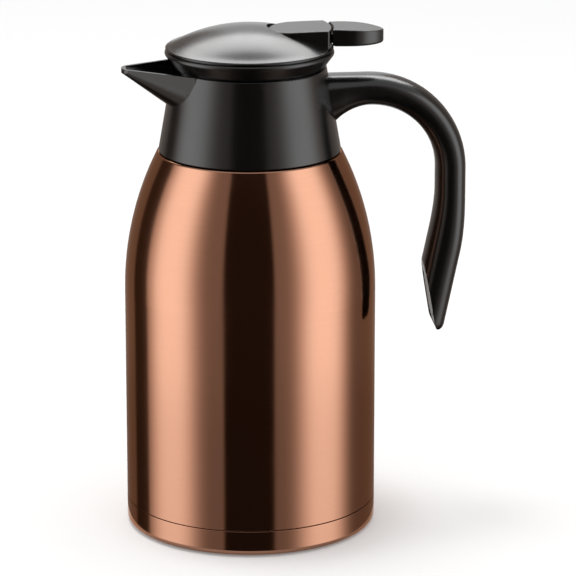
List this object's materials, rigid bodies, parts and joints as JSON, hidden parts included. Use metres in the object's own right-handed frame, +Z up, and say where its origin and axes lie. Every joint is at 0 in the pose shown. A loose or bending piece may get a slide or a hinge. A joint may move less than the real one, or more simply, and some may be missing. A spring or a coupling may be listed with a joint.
{
  "type": "thermal carafe",
  "caption": "Copper-coloured steel vacuum carafe with a black spouted collar, hook handle and a screw-in domed lid whose thumb lever lifts a pouring valve.",
  "frame": {"origin": "middle of the base, on the surface that the carafe stands on", "axes": "+Z up along the body's axis, +X towards the handle, -X towards the spout"},
  "size_m": [0.1802, 0.132, 0.2683],
  "materials": {
    "copper_steel": "satin copper lacquer",
    "bare_steel": "brushed",
    "black_plastic": "satin black",
    "inner_plastic": "matt",
    "silicone": "matt"
  },
  "bodies": {
    "carafe": {"outer_shell": "copper_steel", "inner_liner": "bare_steel", "shell_bottom": "bare_steel", "getter": "bare_steel", "base_cup": "copper_steel", "base_pad": "silicone", "collar": "black_plastic", "neck_seal": "silicone", "neck_ring": "inner_plastic", "handle": "black_plastic", "handle_plug": "black_plastic", "handle_screws": "bare_steel"},
    "seal": {"stopper_seal": "silicone"},
    "lid": {"lid_ring": "black_plastic", "stopper_body": "black_plastic", "stem_guide": "inner_plastic", "stem_seal": "silicone", "guide_screws": "bare_steel", "lid_dome": "black_plastic", "lever_cover": "black_plastic", "lever_pin": "bare_steel", "valve_spring": "bare_steel"},
    "lever": {"thumb_lever": "black_plastic"},
    "valve": {"valve_stem": "inner_plastic", "valve_seal": "silicone", "stem_cap": "inner_plastic"}
  },
  "joints": [
    {"name": "lid_rise", "type": "slide", "parent": "carafe", "child": "seal", "axis": [0, 0, 1], "range_m": [0, 0.008]},
    {"name": "lid_turn", "type": "hinge", "parent": "seal", "child": "lid", "pos_m": [0, 0, 0.2], "axis": [0, 0, 1], "range_deg": [0, 288]},
    {"name": "lever_press", "type": "hinge", "parent": "lid", "child": "lever", "pos_m": [0.037, 0, 0.2615], "axis": [0, 1, 0], "range_deg": [0, 8], "stiffness_Nm_per_rad": 1.2, "springref_deg": -11.46},
    {"name": "valve_lift", "type": "slide", "parent": "lid", "child": "valve", "axis": [0, 0, 1], "range_m": [0, 0.0052], "deforming": ["valve_spring"]}
  ],
  "couplings": [
    {"joint": "lid_rise", "follows": "lid_turn", "m_per_rad": 0.0015915},
    {"joint": "valve_lift", "follows": "lever_press", "m_per_rad": 0.037}
  ]
}
